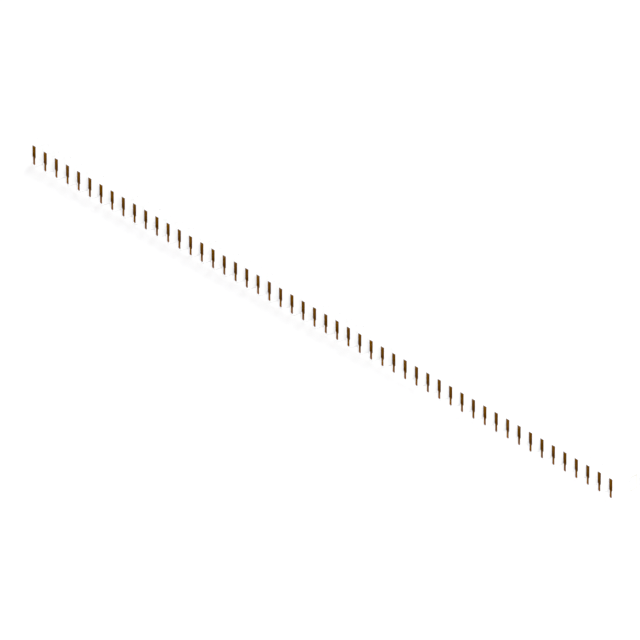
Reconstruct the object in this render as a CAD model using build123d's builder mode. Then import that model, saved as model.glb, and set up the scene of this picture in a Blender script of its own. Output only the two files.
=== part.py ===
from build123d import *
from math import pi, radians, sin, sqrt, tan
import os

# A straight gear rack that lies on its side in a low slide rail.
# X runs along the rack, the teeth face -Y and +Z is up, in millimetres.
# The origin is at the middle of the assembly's underside.

# ---- driving dimensions: the toothing ----
module_size = 2.0
tooth_count = 52
pressure_angle = 14.5
root_fillet = 0.6

pitch = pi * module_size
addendum = 1.0 * module_size
dedendum = 1.25 * module_size
tooth_depth = addendum + dedendum
rack_length = tooth_count * pitch
half_length = rack_length / 2

# ---- driving dimensions: heights, from the surface the rail stands on ----
ground_gap = 0.15          # the toothed block hangs this far above the surface
running_gap = 0.1          # between a sliding face and what it slides on
overall_height = 10.0
rail_height = 8.9
slide_height = 4.5         # centre line of the carrier bar
rail_floor = 1.2
rail_roof = 1.1
liner_thickness = 0.3
neck_height = 3.2
slot_height = 3.6          # mouth of the rail, which the neck passes through

# ---- driving dimensions: depths, measured back from the tooth tips ----
block_depth = 6.6
neck_seat_depth = 1.0      # the neck is let this far into the back of the block
rail_front = 6.75
rail_lip_back = 7.8
bar_head_front = 7.9
bar_head_back = 10.9
liner_back_face = 11.0
overall_depth = 12.5

# ---- driving dimensions: tooth keys ----
key_top_margin = 0.42      # white edge left above a key
key_wide_width = 1.78
key_wide_height = 5.4
key_stem_width = 1.12
key_foot_radius = 0.59     # the stem ends in a slightly swollen round foot
key_height = 9.05
key_shoulder = 0.35        # height of the sloped step from the wide part to the stem
key_depth = 3.0
key_lead = 0.2             # chamfer round the buried end

# ---- driving dimensions: screws, holes and travel ----
travel = 60.0              # the rack runs this far each way from the middle
stop_dog_radius = 0.6
stop_thread_radius = 1.0
stop_reach = 0.6           # how far the dog stands into the groove
stop_groove_height = 1.4
stop_groove_depth = 0.8
stop_groove_play = 0.05
stop_socket_width = 0.9
stop_socket_depth = 0.7
liner_hole_radius = 0.8
bar_screw_radius = 1.0
bar_screw_head_radius = 1.9
bar_screw_length = 7.0
bar_screw_socket_width = 1.3
bar_screw_socket_depth = 0.7
bar_screw_teeth = (11.5, 17.5, 23.5)   # in pitches from the middle, each behind a tooth
load_hole_radius = 0.8
load_hole_depth = 8.0
load_hole_mouth = 1.05
back_hole_radius = 1.025
back_hole_spacings = (300.0, 100.0)
countersink_angle = 90.0
socket_sides = 6
edge_break = 0.25

# ---- places worked out from the above ----
flank = tan(radians(pressure_angle))
tip_y = -overall_depth / 2
block_height = overall_height - ground_gap
bar_head_height = rail_height - rail_roof - rail_floor - 2 * (liner_thickness + running_gap)
liner_front = rail_lip_back
rail_wall_front = liner_back_face + liner_thickness
tip_land = pitch / 2 - 2 * addendum * flank
space_mouth = pitch - tip_land
space_floor = space_mouth - 2 * tooth_depth * flank
fillet_start = tooth_depth - root_fillet * (1 - sin(radians(pressure_angle)))


def behind(depth):
    """The Y of a plane this far back from the tooth tips."""
    return tip_y + depth


def facing_front(depth):
    """A plane seen from the front: its X is along the rack, its Y is up."""
    return Plane((0, behind(depth), 0), x_dir=(1, 0, 0), z_dir=(0, -1, 0))


def facing_back(depth):
    """A plane seen from behind: its Y is up and its X runs the other way."""
    return Plane((0, behind(depth), 0), x_dir=(-1, 0, 0), z_dir=(0, 1, 0))


def section_plane():
    """The plane across the rack at its left end: its X is +Y and its Y is up."""
    return Plane((-half_length, 0, 0), x_dir=(0, 1, 0), z_dir=(1, 0, 0))


def band(front, back, low, high, mode=Mode.ADD):
    """A rectangle of the cross-section, from two depths and two heights."""
    with Locations(((behind(front) + behind(back)) / 2, (low + high) / 2)):
        return Rectangle(back - front, high - low, mode=mode)


def key_outline():
    """The outline of a tooth key: a wide blade, a narrower stem below it and a round foot."""
    wide = key_wide_width / 2
    stem = key_stem_width / 2
    top = overall_height - key_top_margin
    shoulder_top = top - key_wide_height
    shoulder_low = shoulder_top - key_shoulder
    foot_centre = top - key_height + key_foot_radius
    foot_top = foot_centre + sqrt(key_foot_radius**2 - stem**2)
    with BuildLine() as line:
        Polyline(
            (-stem, foot_top),
            (-stem, shoulder_low),
            (-wide, shoulder_top),
            (-wide, top),
            (wide, top),
            (wide, shoulder_top),
            (stem, shoulder_low),
            (stem, foot_top),
        )
        ThreePointArc((stem, foot_top), (0, foot_centre - key_foot_radius), (-stem, foot_top))
    return make_face(line.edges())


def screw_places():
    """X of each screw that holds the carrier bar to the toothed block."""
    return [side * n * pitch for n in bar_screw_teeth for side in (-1, 1)]


# ---- the outline of one tooth space, from the tip plane down to its rounded floor ----
with BuildSketch() as tooth_space:
    with BuildLine():
        Polyline(
            (-space_mouth / 2, 0),
            (-space_floor / 2, tooth_depth),
            (space_floor / 2, tooth_depth),
            (space_mouth / 2, 0),
            close=True,
        )
    make_face()
    fillet(tooth_space.vertices().group_by(Axis.Y)[-1], root_fillet)

# ---- the toothed block, whole ----
with BuildPart() as toothed_block:
    with BuildSketch(Plane.XY.offset(ground_gap)):
        with Locations((0, behind(block_depth / 2))):
            Rectangle(rack_length, block_depth)
    extrude(amount=block_height)

    # the tooth spaces, with half a space at each end
    with BuildSketch(Plane.XY.offset(ground_gap)):
        with Locations((0, tip_y)):
            with GridLocations(pitch, 0, tooth_count + 1, 1):
                add(tooth_space.sketch)
    extrude(amount=block_height, mode=Mode.SUBTRACT)

    # the blind pocket in each tooth tip
    with BuildSketch(facing_front(0)):
        with GridLocations(pitch, 0, tooth_count, 1):
            add(key_outline())
    extrude(amount=-key_depth, mode=Mode.SUBTRACT)

    # the seat for the carrier bar's neck and the holes for its screws
    with BuildSketch(facing_back(block_depth)):
        with Locations((0, slide_height)):
            Rectangle(rack_length, neck_height)
    extrude(amount=-neck_seat_depth, mode=Mode.SUBTRACT)
    with BuildSketch(facing_back(bar_head_back - bar_screw_length)):
        with Locations(*[(-x, slide_height) for x in screw_places()]):
            Circle(bar_screw_radius)
    extrude(amount=block_depth - bar_head_back + bar_screw_length, mode=Mode.SUBTRACT)

# The block is one moulding. It is kept as two nodes, parted where the root fillets begin,
# so that every tooth is a solid of its own and the tooth spaces stay open between them.
parting = Plane((0, behind(fillet_start), 0), x_dir=(1, 0, 0), z_dir=(0, -1, 0))
with BuildPart() as rack_teeth:
    add(toothed_block.part)
    split(bisect_by=parting, keep=Keep.TOP)
with BuildPart() as rack_web:
    add(toothed_block.part)
    split(bisect_by=parting, keep=Keep.BOTTOM)

# ---- the keys, one in each tooth tip ----
with BuildPart() as key_blank:
    with BuildSketch(facing_front(0)):
        add(key_outline())
    extrude(amount=-key_depth)
    chamfer(key_blank.faces().sort_by(Axis.Y)[-1].edges(), key_lead)

# ---- the steel bar that carries the block and runs in the rail ----
with BuildPart() as carrier_bar:
    with BuildSketch(section_plane()):
        band(
            block_depth - neck_seat_depth,
            bar_head_front,
            slide_height - neck_height / 2,
            slide_height + neck_height / 2,
        )
        band(
            bar_head_front,
            bar_head_back,
            slide_height - bar_head_height / 2,
            slide_height + bar_head_height / 2,
        )
    extrude(amount=rack_length)
    chamfer(carrier_bar.faces().sort_by(Axis.Y)[-1].edges().filter_by(Axis.X), edge_break)

    # countersunk holes for the screws into the block
    bar_back = facing_back(bar_head_back)
    with Locations(*[bar_back * Location((-x, slide_height, 0)) for x in screw_places()]):
        CounterSinkHole(
            bar_screw_radius,
            bar_screw_head_radius,
            counter_sink_angle=countersink_angle,
        )

    # the groove that the stop screw's dog runs in
    with BuildSketch(facing_back(bar_head_back)):
        with Locations((0, slide_height)):
            Rectangle(2 * (travel + stop_dog_radius + stop_groove_play), stop_groove_height)
    extrude(amount=-stop_groove_depth, mode=Mode.SUBTRACT)

    # the tapped hole for the load, in the left end
    bar_middle = behind((bar_head_front + bar_head_back) / 2)
    with Locations(Plane((-half_length, bar_middle, slide_height), z_dir=(-1, 0, 0))):
        CounterSinkHole(load_hole_radius, load_hole_mouth, load_hole_depth, countersink_angle)

# ---- the screws that hold the bar to the block ----
with BuildPart() as bar_screws:
    for x in screw_places():
        with BuildSketch(facing_back(bar_head_back)):
            with Locations((-x, slide_height)):
                Circle(bar_screw_radius)
        extrude(amount=-bar_screw_length)
        head_height = bar_screw_head_radius - bar_screw_radius
        with BuildSketch(facing_back(bar_head_back)):
            with Locations((-x, slide_height)):
                Circle(bar_screw_head_radius)
        extrude(amount=-head_height, taper=countersink_angle / 2)
        with BuildSketch(facing_back(bar_head_back)):
            with Locations((-x, slide_height)):
                RegularPolygon(bar_screw_socket_width / 2, socket_sides, major_radius=False)
        extrude(amount=-bar_screw_socket_depth, mode=Mode.SUBTRACT)

# ---- the rail: a channel whose mouth faces the block ----
with BuildPart() as guide_rail:
    slot_low = slide_height - slot_height / 2
    slot_high = slide_height + slot_height / 2
    with BuildSketch(section_plane()):
        band(rail_front, overall_depth, 0, rail_height)
        band(rail_lip_back, rail_wall_front, rail_floor, rail_height - rail_roof, Mode.SUBTRACT)
        band(rail_front, rail_lip_back, slot_low, slot_high, Mode.SUBTRACT)
    extrude(amount=rack_length)
    chamfer(guide_rail.faces().sort_by(Axis.Z)[-1].edges().filter_by(Axis.X), edge_break)

    # tapped mounting holes in the back wall, and the one for the stop screw
    with BuildSketch(facing_back(rail_wall_front)):
        with Locations((0, slide_height)):
            for spacing in back_hole_spacings:
                with GridLocations(spacing, 0, 2, 1):
                    Circle(back_hole_radius)
            Circle(stop_thread_radius)
    extrude(amount=overall_depth - rail_wall_front, mode=Mode.SUBTRACT)

# ---- the plastic liner inside the rail: floor, back and roof in one piece ----
with BuildPart() as slide_liner:
    liner_roof = rail_height - rail_roof
    with BuildSketch(section_plane()):
        band(liner_front, rail_wall_front, rail_floor, liner_roof)
        band(
            liner_front,
            liner_back_face,
            rail_floor + liner_thickness,
            liner_roof - liner_thickness,
            Mode.SUBTRACT,
        )
    extrude(amount=rack_length)
    with BuildSketch(facing_back(liner_back_face)):
        with Locations((0, slide_height)):
            Circle(liner_hole_radius)
    extrude(amount=liner_thickness, mode=Mode.SUBTRACT)

# ---- the stop screw: a threaded body with a plain dog that limits the travel ----
with BuildPart() as stop_screw:
    with BuildSketch(facing_back(rail_wall_front)):
        with Locations((0, slide_height)):
            Circle(stop_thread_radius)
    extrude(amount=overall_depth - rail_wall_front)
    with BuildSketch(facing_back(bar_head_back - stop_reach)):
        with Locations((0, slide_height)):
            Circle(stop_dog_radius)
    extrude(amount=rail_wall_front - bar_head_back + stop_reach)
    with BuildSketch(facing_back(overall_depth)):
        with Locations((0, slide_height)):
            RegularPolygon(stop_socket_width / 2, socket_sides, major_radius=False)
    extrude(amount=-stop_socket_depth, mode=Mode.SUBTRACT)


def save(part, name):
    """Label a finished piece and write it as parts/NAME.step."""
    part.label = name
    export_step(part, f"parts/{name}.step")


os.makedirs("parts", exist_ok=True)
save(rack_teeth.part, "rack_teeth")
save(rack_web.part, "rack_web")
save(carrier_bar.part, "carrier_bar")
save(bar_screws.part, "bar_screws")
save(guide_rail.part, "guide_rail")
save(slide_liner.part, "slide_liner")
save(stop_screw.part, "stop_screw")
for number in range(1, tooth_count + 1):
    key_x = (number - (tooth_count + 1) / 2) * pitch
    save(key_blank.part.moved(Location((key_x, 0, 0))), f"tooth_key_{number:02d}")
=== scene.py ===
"""Looks for the gear rack on its slide rail: materials, soft edges, floor, light and camera."""

import math

import bmesh
import bpy
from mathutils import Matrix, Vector

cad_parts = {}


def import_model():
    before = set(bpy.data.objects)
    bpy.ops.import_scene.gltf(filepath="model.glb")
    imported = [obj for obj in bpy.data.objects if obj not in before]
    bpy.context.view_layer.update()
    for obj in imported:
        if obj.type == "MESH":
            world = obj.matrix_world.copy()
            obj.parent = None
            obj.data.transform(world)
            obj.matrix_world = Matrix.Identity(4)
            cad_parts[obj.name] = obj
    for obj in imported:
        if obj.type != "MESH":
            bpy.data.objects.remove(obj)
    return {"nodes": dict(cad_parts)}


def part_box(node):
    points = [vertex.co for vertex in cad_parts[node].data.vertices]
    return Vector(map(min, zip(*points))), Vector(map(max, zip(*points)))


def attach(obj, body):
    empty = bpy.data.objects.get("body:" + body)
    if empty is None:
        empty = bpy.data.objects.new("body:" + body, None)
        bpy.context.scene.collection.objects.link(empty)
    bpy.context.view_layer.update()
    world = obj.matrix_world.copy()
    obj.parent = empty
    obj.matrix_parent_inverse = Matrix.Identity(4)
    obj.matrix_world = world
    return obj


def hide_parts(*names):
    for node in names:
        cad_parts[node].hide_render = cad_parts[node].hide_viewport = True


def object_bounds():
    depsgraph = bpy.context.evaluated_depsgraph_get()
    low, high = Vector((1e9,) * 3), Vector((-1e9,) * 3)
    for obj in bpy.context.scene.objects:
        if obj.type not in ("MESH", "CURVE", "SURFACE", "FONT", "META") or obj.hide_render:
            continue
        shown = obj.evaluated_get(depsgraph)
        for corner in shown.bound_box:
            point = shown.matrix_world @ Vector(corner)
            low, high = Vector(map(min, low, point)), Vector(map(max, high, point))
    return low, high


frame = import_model()
cad_low, cad_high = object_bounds()
nodes = frame["nodes"]

MM = 0.001
# the wide upper part of a key, above its shoulder
KEY_WIDE_HEIGHT = 5.4 * MM
# corners nearer to each other than this are one corner
WELD_GAP = 0.002 * MM
# the photograph's isometric view
VIEW_AZIMUTH = math.radians(45)
VIEW_ELEVATION = math.atan(math.sqrt(0.5))
# a tint that leaves the colour under it as it is
UNCHANGED = (1.0, 1.0, 1.0)

# ---- places read from the frame ----
teeth_low, teeth_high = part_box("rack_teeth")
web_low, web_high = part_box("rack_web")
key_low, key_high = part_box("tooth_key_01")
key_names = sorted(name for name in nodes if name.startswith("tooth_key_"))
pitch = (web_high.x - web_low.x) / len(key_names)
tip_y = teeth_low.y
parting_y = teeth_high.y


# =====================================================================
# node graphs
# =====================================================================
class Graph:
    """The nodes of a material or a world, with short calls for the kinds used here."""

    def __init__(self, owner, shader, coordinates):
        owner.use_nodes = True
        self.owner = owner
        self.tree = owner.node_tree
        self.shader = self.tree.nodes[shader]
        self.place = self.tree.nodes.new("ShaderNodeTexCoord").outputs[coordinates]

    def put(self, socket, value):
        """Set a socket to a constant or link it to an output."""
        if isinstance(value, bpy.types.NodeSocket):
            self.tree.links.new(value, socket)
        else:
            socket.default_value = value

    def set(self, **inputs):
        """Set the shader's inputs; an underscore in a name stands for a space."""
        for name, value in inputs.items():
            self.put(self.shader.inputs[name.replace("_", " ")], value)

    def noise(self, scale, detail, place=None):
        """Smooth noise from 0 to 1, with this many cells in a metre."""
        node = self.tree.nodes.new("ShaderNodeTexNoise")
        self.put(node.inputs["Vector"], place or self.place)
        node.inputs["Scale"].default_value = scale
        node.inputs["Detail"].default_value = detail
        node.inputs["Roughness"].default_value = 0.55
        return node.outputs["Fac"]

    def lines(self, x, y, z, detail):
        """Noise with its own number of cells in a metre on each axis, for drawn or cut lines."""
        node = self.tree.nodes.new("ShaderNodeMapping")
        self.put(node.inputs["Vector"], self.place)
        node.inputs["Scale"].default_value = (x, y, z)
        return self.noise(1.0, detail, node.outputs["Vector"])

    def ramp(self, value, *stops):
        """A colour ramp; each stop is a position and a colour."""
        node = self.tree.nodes.new("ShaderNodeValToRGB")
        self.put(node.inputs["Fac"], value)
        elements = node.color_ramp.elements
        while len(elements) < len(stops):
            elements.new(0.5)
        for element, (position, colour) in zip(elements, stops):
            element.position = position
            element.color = (*colour, 1)
        return node.outputs["Color"]

    def between(self, value, low, high, to_low=0.0, to_high=1.0, smooth=False):
        """Map low..high to to_low..to_high, and hold it at the ends."""
        node = self.tree.nodes.new("ShaderNodeMapRange")
        if smooth:
            node.interpolation_type = "SMOOTHSTEP"
        for socket, item in zip(node.inputs, (value, low, high, to_low, to_high)):
            self.put(socket, item)
        return node.outputs["Result"]

    def math(self, operation, a, b):
        """A sum on two numbers, such as ADD or MULTIPLY."""
        node = self.tree.nodes.new("ShaderNodeMath")
        node.operation = operation
        self.put(node.inputs[0], a)
        self.put(node.inputs[1], b)
        return node.outputs["Value"]

    def dot(self, a, b):
        """The scalar product of two vectors."""
        node = self.tree.nodes.new("ShaderNodeVectorMath")
        node.operation = "DOT_PRODUCT"
        self.put(node.inputs[0], a)
        self.put(node.inputs[1], b)
        return node.outputs["Value"]

    def mix(self, factor, a, b, blend="MIX"):
        """Mix two colours: the node's colour sockets are inputs 6 and 7 and output 2."""
        node = self.tree.nodes.new("ShaderNodeMix")
        node.data_type = "RGBA"
        node.blend_type = blend
        self.put(node.inputs[0], factor)
        self.put(node.inputs[6], a)
        self.put(node.inputs[7], b)
        return node.outputs[2]

    def mix_levels(self, factor, a, b):
        """Mix two numbers."""
        node = self.tree.nodes.new("ShaderNodeMix")
        self.put(node.inputs["Factor"], factor)
        self.put(node.inputs["A"], a)
        self.put(node.inputs["B"], b)
        return node.outputs["Result"]

    def axis(self, name):
        """One of the coordinates, X, Y or Z."""
        node = self.tree.nodes.new("ShaderNodeSeparateXYZ")
        self.put(node.inputs["Vector"], self.place)
        return node.outputs[name]

    def edge(self, radius):
        """1 on edges and corners, 0 on open faces."""
        flat_cosine = 0.98
        edge_cosine = 0.80
        bevel = self.tree.nodes.new("ShaderNodeBevel")
        bevel.samples = 4
        bevel.inputs["Radius"].default_value = radius
        face = self.tree.nodes.new("ShaderNodeNewGeometry")
        cosine = self.dot(bevel.outputs["Normal"], face.outputs["Normal"])
        return self.between(cosine, flat_cosine, edge_cosine)

    def bump(self, height, distance, strength, under=None):
        """A relief this deep, on top of the relief under it."""
        node = self.tree.nodes.new("ShaderNodeBump")
        node.inputs["Distance"].default_value = distance
        node.inputs["Strength"].default_value = strength
        self.put(node.inputs["Height"], height)
        if under is not None:
            self.put(node.inputs["Normal"], under)
        return node.outputs["Normal"]


def surface(name):
    """The graph of a new material."""
    return Graph(bpy.data.materials.new(name), "Principled BSDF", "Object")


# =====================================================================
# materials
# =====================================================================
def white_acetal():
    """Machined white plastic: faint cloudiness, cutter lines across the teeth, polished edges."""
    dull = (0.93, 0.93, 0.925)
    bright = (0.955, 0.955, 0.95)
    speck_tint = (0.80, 0.79, 0.77)
    polished = (0.96, 0.96, 0.96, 1)
    g = surface("white_acetal")
    cloud = g.ramp(g.noise(140, detail=4), (0.3, dull), (0.7, bright))
    speck = g.ramp(g.noise(2600, detail=2), (0.26, speck_tint), (0.31, UNCHANGED))
    colour = g.mix(0.5, cloud, speck, "MULTIPLY")
    worn = g.edge(radius=0.16 * MM)
    g.set(Base_Color=g.mix(g.math("MULTIPLY", worn, 0.5), colour, polished))
    cutter = g.lines(x=900, y=900, z=9000, detail=2)
    feed = g.lines(x=120, y=5200, z=60, detail=2)
    both = g.math("ADD", cutter, feed)
    g.set(Roughness=g.between(both, low=0.6, high=1.4, to_low=0.34, to_high=0.52))
    fine = g.bump(cutter, distance=0.012 * MM, strength=0.6)
    g.set(Normal=g.bump(feed, distance=0.010 * MM, strength=0.5, under=fine))
    g.set(IOR=1.48, Specular_IOR_Level=0.4)
    return g.owner


def dark_bronze():
    """Bronze with painted shade by height: darkest just above the shoulder, lighter towards the
    foot and the top; lighter worn edges, fine drawn lines.
    """
    foot = (0.200, 0.060, 0.0040)
    stem = (0.225, 0.090, 0.0030)
    stem_top = (0.165, 0.062, 0.0020)
    # the darkest painted shade, just above the shoulder
    shoulder_shade = (0.078, 0.024, 0.0006)
    upper = (0.128, 0.048, 0.0008)
    top = (0.158, 0.060, 0.0010)
    darker_batch = (0.88, 0.86, 0.84)
    lighter_batch = (1.10, 1.08, 1.0)
    stained = (0.72, 0.66, 0.60)
    clean = (1.08, 1.08, 1.05)
    rubbed = (0.40, 0.18, 0.02, 1)
    g = surface("dark_bronze")
    rise = g.between(g.axis("Z"), key_low.z, key_high.z)
    key_height = key_high.z - key_low.z
    shoulder_at = (key_height - KEY_WIDE_HEIGHT) / key_height
    # painted shade by height: the colour is darkest just above the shoulder and lighter towards the
    # foot and the top
    painted_height_shade = g.ramp(
        rise,
        (0.0, foot),
        (0.18, stem),
        (shoulder_at - 0.08, stem_top),
        (shoulder_at + 0.06, shoulder_shade),
        (shoulder_at + 0.26, upper),
        (1.0, top),
    )
    random = g.tree.nodes.new("ShaderNodeObjectInfo").outputs["Random"]
    batch = g.ramp(random, (0.0, darker_batch), (1.0, lighter_batch))
    colour = g.mix(1.0, painted_height_shade, batch, "MULTIPLY")
    stain = g.ramp(g.noise(900, detail=5), (0.35, stained), (0.62, clean))
    colour = g.mix(0.7, colour, stain, "MULTIPLY")
    patches = g.between(g.noise(2200, detail=3), low=0.40, high=0.60)
    worn = g.math("MULTIPLY", g.edge(radius=0.10 * MM), patches)
    g.set(Base_Color=g.mix(g.math("MULTIPLY", worn, 0.8), colour, rubbed))
    drawn = g.lines(x=14000, y=14000, z=420, detail=3)
    both = g.math("ADD", drawn, g.noise(1500, detail=3))
    g.set(Roughness=g.between(both, low=0.6, high=1.4, to_low=0.30, to_high=0.50))
    g.set(Normal=g.bump(drawn, distance=0.006 * MM, strength=0.7))
    g.set(Metallic=1.0, Specular_Tint=(0.70, 0.60, 0.50, 1))
    return g.owner


def black_steel():
    """Blackened steel screws: turned lines, and brighter where an edge has rubbed."""
    black = (0.040, 0.040, 0.044)
    faded = (0.062, 0.062, 0.066)
    rubbed = (0.20, 0.20, 0.20, 1)
    g = surface("black_steel")
    turned = g.lines(x=900, y=9000, z=900, detail=4)
    patch = g.noise(700, detail=4)
    worn = g.edge(radius=0.12 * MM)
    colour = g.ramp(patch, (0.35, black), (0.65, faded))
    g.set(Base_Color=g.mix(g.math("MULTIPLY", worn, 0.6), colour, rubbed))
    both = g.math("ADD", turned, patch)
    g.set(Roughness=g.between(both, low=0.7, high=1.3, to_low=0.26, to_high=0.46))
    g.set(Normal=g.bump(turned, distance=0.008 * MM, strength=0.6))
    g.set(Metallic=1.0)
    return g.owner


def white_coating():
    """White powder coat: orange-peel surface, a little thin on sharp edges."""
    dull = (0.93, 0.93, 0.93)
    bright = (0.955, 0.955, 0.955)
    dust_tint = (0.82, 0.82, 0.81)
    primer = (0.70, 0.70, 0.71, 1)
    g = surface("white_coating")
    colour = g.ramp(g.noise(90, detail=4), (0.3, dull), (0.7, bright))
    dust = g.ramp(g.noise(3200, detail=2), (0.25, dust_tint), (0.30, UNCHANGED))
    colour = g.mix(0.4, colour, dust, "MULTIPLY")
    patches = g.between(g.noise(700, detail=4), low=0.58, high=0.70)
    thin = g.math("MULTIPLY", g.edge(radius=0.10 * MM), patches)
    g.set(Base_Color=g.mix(g.math("MULTIPLY", thin, 0.35), colour, primer))
    gloss = g.noise(400, detail=3)
    g.set(Roughness=g.between(gloss, low=0.3, high=0.7, to_low=0.38, to_high=0.55))
    peel = g.noise(1500, detail=2)
    g.set(Normal=g.bump(peel, distance=0.020 * MM, strength=0.5))
    g.set(Specular_IOR_Level=0.4)
    return g.owner


def liner_plastic():
    """Waxy low-friction polymer with extrusion lines."""
    darker = (0.74, 0.72, 0.64)
    lighter = (0.82, 0.80, 0.73)
    g = surface("liner")
    drawn = g.lines(x=30, y=7000, z=7000, detail=3)
    g.set(Base_Color=g.ramp(drawn, (0.3, darker), (0.7, lighter)))
    g.set(Roughness=g.between(drawn, low=0.3, high=0.7, to_low=0.30, to_high=0.42))
    g.set(Normal=g.bump(drawn, distance=0.010 * MM, strength=0.5))
    return g.owner


# =====================================================================
# pieces
# =====================================================================
def add(name, data):
    """Put a new object into the scene."""
    thing = bpy.data.objects.new(name, data)
    bpy.context.scene.collection.objects.link(thing)
    return thing


def soften(node, edge_width):
    """Join the imported faces, clear the lines across flat ones and round the edges a little."""
    weld = node.modifiers.new("weld", "WELD")
    weld.merge_threshold = WELD_GAP
    planar = node.modifiers.new("planar", "DECIMATE")
    planar.decimate_type = "DISSOLVE"
    planar.angle_limit = math.radians(1)
    bevel = node.modifiers.new("bevel", "BEVEL")
    bevel.width = edge_width
    bevel.segments = 2
    bevel.limit_method = "ANGLE"
    bevel.angle_limit = math.radians(35)
    bevel.use_clamp_overlap = False
    bevel.harden_normals = True


def dress(names, material, edge_width=0.0):
    """Give CAD nodes their material, and soft edges where a width is given."""
    for name in names:
        node = nodes[name]
        node.data.materials.clear()
        node.data.materials.append(material)
        if edge_width:
            soften(node, edge_width)


def whole_block(material):
    """The teeth and the web as the one moulding they are, without the faces where they part."""
    plane_tolerance = 0.005 * MM
    mesh = bpy.data.meshes.new("toothed_block")
    shape = bmesh.new()
    for name in ("rack_teeth", "rack_web"):
        shape.from_mesh(nodes[name].data)
    bmesh.ops.remove_doubles(shape, verts=shape.verts, dist=WELD_GAP)
    inner = [
        face
        for face in shape.faces
        if all(abs(corner.co.y - parting_y) < plane_tolerance for corner in face.verts)
    ]
    bmesh.ops.delete(shape, geom=inner, context="FACES")
    shape.normal_update()
    shape.to_mesh(mesh)
    shape.free()
    mesh.materials.append(material)
    piece = add("toothed_block", mesh)
    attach(piece, "rack")
    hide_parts("rack_teeth", "rack_web")
    soften(piece, edge_width=0.05 * MM)


coating = white_coating()
blackened = black_steel()
whole_block(white_acetal())
dress(key_names, dark_bronze(), edge_width=0.03 * MM)
dress(["guide_rail"], coating, edge_width=0.08 * MM)
dress(["carrier_bar"], coating)
dress(["bar_screws", "stop_screw"], blackened, edge_width=0.04 * MM)
dress(["slide_liner"], liner_plastic())


# =====================================================================
# floor, light and camera
# =====================================================================
def toward(azimuth, elevation):
    """The direction at these angles; azimuth 0 is the -Y side and 90 degrees the +X side."""
    right = math.sin(azimuth) * math.cos(elevation)
    back = -math.cos(azimuth) * math.cos(elevation)
    return Vector((right, back, math.sin(elevation)))


def look_from(thing, direction):
    """Turn a lamp or a camera so that it looks back from this direction."""
    thing.rotation_mode = "QUATERNION"
    thing.rotation_quaternion = direction.to_track_quat("Z", "Y")


def floor():
    """A seamless pale floor under the rail."""
    reach = 40.0
    z = cad_low.z
    cooler = (0.925, 0.925, 0.93)
    lighter = (0.94, 0.94, 0.94)
    corners = [(-reach, -reach, z), (reach, -reach, z), (reach, reach, z), (-reach, reach, z)]
    mesh = bpy.data.meshes.new("floor")
    mesh.from_pydata(corners, [], [(0, 1, 2, 3)])
    ground = add("floor", mesh)
    g = surface("floor")
    g.set(Base_Color=g.ramp(g.noise(8, detail=3), (0.3, cooler), (0.7, lighter)))
    g.set(Roughness=0.9, Specular_IOR_Level=0.1)
    mesh.materials.append(g.owner)


def world(near_side, far_side, below):
    """A pale room, brighter on the camera's side; under the horizon it is as white as the floor."""
    turnover = 0.6
    studio = bpy.data.worlds.new("studio")
    bpy.context.scene.world = studio
    g = Graph(studio, "Background", "Generated")
    side = g.dot(g.place, toward(VIEW_AZIMUTH, 0))
    room = g.between(side, -turnover, turnover, far_side, near_side, smooth=True)
    above = g.math("GREATER_THAN", g.axis("Z"), 0.0)
    g.set(Color=(0.985, 0.99, 1.0, 1), Strength=g.mix_levels(above, below, room))


def sun(name, azimuth, elevation, strength, spread):
    """A soft sun that shines from this direction; its angles and its spread are in degrees."""
    light = bpy.data.lights.new(name, "SUN")
    light.energy = strength
    light.angle = math.radians(spread)
    look_from(add(name, light), toward(math.radians(azimuth), math.radians(elevation)))


def fill(target_x, radius, level):
    """A spot from the camera's side that lifts the floor round this place, past the rack's end."""
    distance = 1.5
    elevation = math.radians(45)
    light = bpy.data.lights.new("fill", "SPOT")
    # the power at which a white surface that faces the spot is lit to this level
    light.energy = level * (2 * math.pi * distance) ** 2
    light.spot_size = 2 * math.atan(radius / distance)
    light.spot_blend = 0.15
    light.shadow_soft_size = 0.02
    lamp = add("fill", light)
    direction = toward(VIEW_AZIMUTH, elevation)
    lamp.location = Vector((target_x, tip_y, 0)) + direction * distance
    look_from(lamp, direction)


def camera():
    """A very long lens from the front right, so that the view is all but parallel."""
    lens = 1680.0
    # how many pitches, laid across the view, fill the picture's width
    width_in_pitches = 40.02
    # where the middle of the picture lies, from the middle of the keys' upper edge
    aim_right = -0.04 * MM
    aim_up = -3.47 * MM
    data = bpy.data.cameras.new("camera")
    data.lens = lens
    data.clip_start = 1.0
    data.clip_end = 60.0
    cam = add("camera", data)
    back = toward(VIEW_AZIMUTH, VIEW_ELEVATION)
    turn = back.to_track_quat("Z", "Y")
    anchor = Vector((0, tip_y, key_high.z))
    aim = anchor + turn @ Vector((aim_right, aim_up, 0))
    distance = lens / data.sensor_width * width_in_pitches * pitch
    cam.location = aim + back * distance
    look_from(cam, back)
    bpy.context.scene.camera = cam


camera()
floor()
world(near_side=0.74, far_side=0.42, below=1.05)
sun("main", azimuth=45, elevation=48, strength=1.65, spread=18)
sun("rim", azimuth=192, elevation=48, strength=0.72, spread=25)
fill(target_x=web_high.x + 61.6 * MM, radius=160 * MM, level=0.07)

scene = bpy.context.scene
scene.view_settings.view_transform = "Standard"
scene.view_settings.look = "None"
scene.view_settings.exposure = 0.0
scene.cycles.max_bounces = 8
